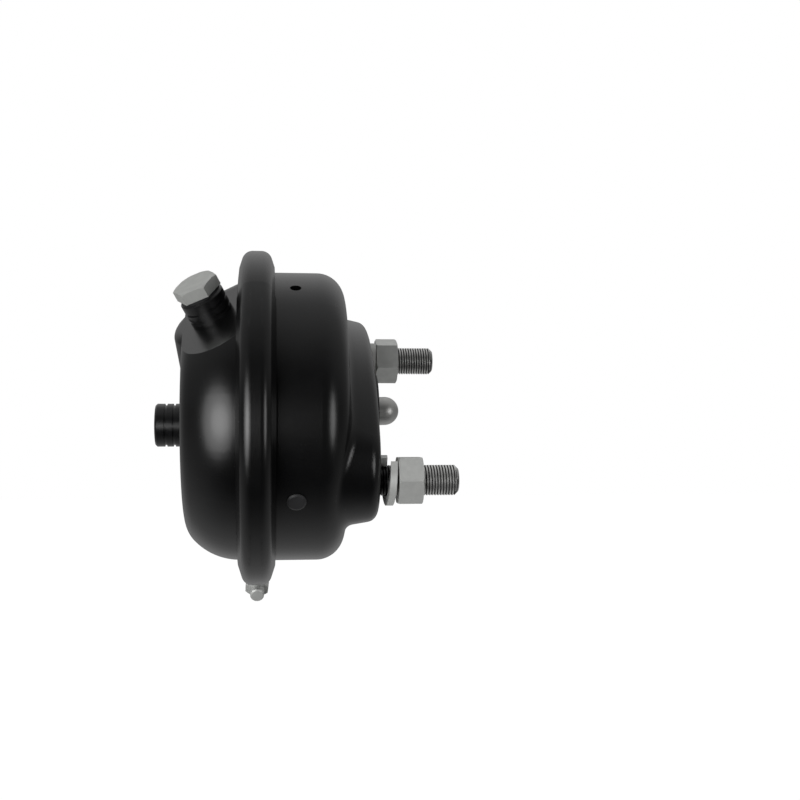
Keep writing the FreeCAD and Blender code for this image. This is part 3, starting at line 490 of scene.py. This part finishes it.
def threaded_bar(name, radius, pitch, depth, start, end, chamfer, steps=64):
    """A closed threaded bar about the X axis; all sizes are in metres."""
    half = pitch / 2
    bpy.ops.mesh.primitive_plane_add(size=pitch)
    bar = bpy.context.object
    bar.name = name
    edit(bar)
    pick(bar, lambda place: place.y > 0)
    bpy.ops.mesh.delete(type="VERT")
    bpy.ops.mesh.select_all(action="SELECT")
    bpy.ops.transform.translate(value=(half, half, radius - depth))
    bpy.ops.mesh.subdivide(number_cuts=3)
    pick(bar, lambda place: abs(place.x - half) < half * CREST_SHARE)
    bpy.ops.transform.translate(value=(0, 0, depth))
    bpy.ops.object.mode_set(mode="OBJECT")
    bar.location = (start - 2 * pitch, 0, 0)
    helix = bar.modifiers.new("helix", "SCREW")
    helix.axis = "X"
    helix.screw_offset = pitch
    helix.iterations = math.ceil((end - start) / pitch) + 3
    helix.steps = steps
    helix.render_steps = steps
    helix.use_merge_vertices = True
    helix.merge_threshold = THREAD_WELD
    helix.use_smooth_shade = False
    apply_modifiers(bar)
    settle(bar)
    for place, outer in ((start, False), (end, True)):
        edit(bar)
        bpy.ops.mesh.bisect(
            plane_co=(place, 0, 0),
            plane_no=(1, 0, 0),
            use_fill=True,
            clear_inner=not outer,
            clear_outer=outer,
            threshold=SAME_PLACE,
        )
    bpy.ops.object.mode_set(mode="OBJECT")
    for vertex in bar.data.vertices:
        limit = radius - chamfer + (end - vertex.co.x)
        reach = math.hypot(vertex.co.y, vertex.co.z)
        if reach > limit:
            vertex.co.y *= limit / reach
            vertex.co.z *= limit / reach
    tidy(bar)
    return bar


# %% [markdown]
# The mounting studs
#
# Both studs are M16 with a pitch of 1.5 mm and 120.65 mm apart on a line that leans 34 degrees.
# Behind the thread comes a plain shank through the stud plate and a low round head. The crests are
# bright, the groove flanks carry painted shade, and the dip coat has run onto the first few turns.

# %% Make the mounting studs
STUD_RADIUS, STUD_END, STUD_CHAMFER = 8 * MM, 42 * MM, 1.9 * MM
THREAD_PITCH, THREAD_DEPTH = 1.5 * MM, 0.92 * MM
STUD_COATED, STUD_TIP = 6 * MM, 0.5 * MM
SHANK = [(-13, 0), (-13, 10.4), (-12.4, 11), (-8, 11), (-8, 7.9), (0.6, 7.9), (0.6, 0)]
STUD_LINE = math.radians(34)
STUD_REACH = 120.65 / 2 * MM


def mounting_stud(side, sign):
    thread = threaded_bar(
        f"{side}_stud", STUD_RADIUS, THREAD_PITCH, THREAD_DEPTH, 0, STUD_END, STUD_CHAMFER
    )
    shank = turn_on_lathe("shank", SHANK, 48, False)
    stud = join([thread, shank], f"{side}_stud_threaded")
    reach = sign * STUD_REACH
    stud.location = (0, reach * math.cos(STUD_LINE), reach * math.sin(STUD_LINE))
    settle(stud)
    for finish in (thread_steel, groove_painted_shade, black_coat):
        stud.data.materials.append(finish)
    # Steep flank faces in the grooves get the darker steel as painted shade; the first turns get
    # the dip coat.
    for face in stud.data.polygons:
        flank_painted_shade = abs(face.normal.x) > 0.5 and face.center.x < STUD_END - STUD_TIP
        face.material_index = 2 if face.center.x < STUD_COATED else int(flank_painted_shade)
    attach(stud, "housing")
    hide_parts(f"{side}_mounting_stud")
    return stud


studs = [mounting_stud("upper", 1), mounting_stud("lower", -1)]
print("threads:", [len(stud.data.polygons) for stud in studs], "faces")

# %% [markdown]
# The folded boot
#
# The boot is three pieces, because its two ends follow different bodies. A collar is clipped to
# the hub and rides with the push plate, a rim is held in the mouth and stays with the housing,
# and the seven folds between them stay with the housing too. The folds are a
# wave turned on the lathe, with soft crests and valleys instead of the model's sharp ones.

# %% Make the boot
BOOT_BACK, BOOT_FRONT = -76.0, -8.6
BOOT_FOLDS = 7
BOOT_CREST, BOOT_VALLEY, BOOT_WALL = 31.0, 20.0, 2.1
COLLAR = [(-83, 17.02), (-83, 18.2), (-82.6, 18.6), (-76, 18.6), (-76, 17.02)]
RIM = [(-8.6, 17.9), (-8.6, 20), (-7.9, 20.6), (-5.2, 22), (-3, 22), (-3, 17.9)]


def wave(share):
    """The folds' outer radius at a share of their length."""
    middle, reach = (BOOT_CREST + BOOT_VALLEY) / 2, (BOOT_CREST - BOOT_VALLEY) / 2
    swing = -math.cos(2 * math.pi * BOOT_FOLDS * share)
    return middle + reach * swing


def make_boot():
    steps = BOOT_FOLDS * 12
    shares = [step / steps for step in range(steps + 1)]
    outer = [(BOOT_BACK + share * (BOOT_FRONT - BOOT_BACK), wave(share)) for share in shares]
    inner = [(x, radius - BOOT_WALL) for x, radius in reversed(outer)]
    folds = turn_on_lathe("boot_folds", outer + inner, 72)
    collar = turn_on_lathe("boot_collar", COLLAR, 72)
    rim = turn_on_lathe("boot_rim", RIM, 72)
    for piece in (folds, collar, rim):
        bpy.ops.object.select_all(action="DESELECT")
        piece.data.materials.clear()
        piece.data.materials.append(black_rubber)
        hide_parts("rod_boot")
    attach(folds, "housing")
    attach(rim, "housing")
    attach(collar, "plate")
    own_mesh(folds)
    return folds


boot = make_boot()
print("boot:", len(boot.data.polygons), "faces")

# %% [markdown]
# The return spring
#
# A ring of wire is wound four and a half turns by the Screw modifier and then opened out into a
# cone, wide at its seat in the front cup. A conical spring closes towards that seat coil inside
# coil, which is what lets it close so short; here it stays as wound.

# %% Wind the return spring
SPRING_BACK, SPRING_FRONT = -93.1, -21.5
SPRING_SMALL, SPRING_LARGE, SPRING_WIRE = 38.0, 54.0, 4.5
SPRING_TURNS = 4.5


def wind_spring():
    first, last = (SPRING_BACK + SPRING_WIRE / 2) * MM, (SPRING_FRONT - SPRING_WIRE / 2) * MM
    bpy.ops.mesh.primitive_circle_add(
        vertices=16,
        radius=SPRING_WIRE / 2 * MM,
        location=(first, 0, -SPRING_SMALL * MM),
        rotation=(math.radians(90), 0, 0),
    )
    spring = bpy.context.object
    spring.name = "wound_spring"
    settle(spring)
    coil = spring.modifiers.new("coil", "SCREW")
    coil.axis = "X"
    coil.angle = math.radians(360 * SPRING_TURNS)
    coil.screw_offset = last - first
    coil.steps = coil.render_steps = int(64 * SPRING_TURNS)
    apply_modifiers(spring)
    for vertex in spring.data.vertices:
        share = (vertex.co.x - first) / (last - first)
        reach = math.hypot(vertex.co.y, vertex.co.z)
        wider = 1 + (SPRING_LARGE - SPRING_SMALL) * MM * share / reach
        vertex.co.y *= wider
        vertex.co.z *= wider
    tidy(spring)
    spring.data.shade_smooth()
    spring.data.materials.clear()
    spring.data.materials.append(coated_spring)
    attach(spring, "housing")
    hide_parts("return_spring")
    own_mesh(spring)
    return spring


spring = wind_spring()
print("spring:", len(spring.data.polygons), "faces")

# %% [markdown]
# The diaphragm
#
# Rubber on fabric: its bead stays between the two cups and its middle moves with the push plate,
# so the flank between them has to bend. It is turned from a rounded section; cutting every
# corner three times gives the section enough points for smooth curves.

# %% Make the diaphragm
FRONT_FLANK = [
    (-58.57, 79), (-64.4, 75.5), (-67.4, 63.5), (-91.6, 49.6), (-95.6, 47.6), (-96.6, 45.4),
    (-96.6, 44),
]
BACK_FLANK = [
    (-99.6, 44), (-99.6, 47), (-97.6, 50.4), (-94.2, 52.6), (-70.4, 65), (-67.6, 76), (-69.43, 79)
]
BEAD_FRONT, BEAD_BACK = (-61.82, 89), (-66.18, 89)
MIDDLE_FRONT, MIDDLE_BACK = (-96.6, 0), (-99.6, 0)


def soften(points, times):
    """Cuts every inner corner of an open line, as often as wanted."""
    for _ in range(times):
        softer = [points[0]]
        for (x0, r0), (x1, r1) in zip(points, points[1:]):
            softer += [(x0 * 0.75 + x1 * 0.25, r0 * 0.75 + r1 * 0.25)]
            softer += [(x0 * 0.25 + x1 * 0.75, r0 * 0.25 + r1 * 0.75)]
        points = softer + [points[-1]]
    return points


def make_diaphragm():
    front, back = soften(FRONT_FLANK, 3), soften(BACK_FLANK, 3)
    section = [BEAD_FRONT, *front, MIDDLE_FRONT, MIDDLE_BACK, *back, BEAD_BACK]
    rubber = turn_on_lathe("bending_diaphragm", section, 96)
    rubber.data.materials.clear()
    rubber.data.materials.append(black_rubber)
    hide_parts("diaphragm")
    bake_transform(rubber)
    return rubber


diaphragm = make_diaphragm()
print("diaphragm:", len(diaphragm.data.polygons), "faces")
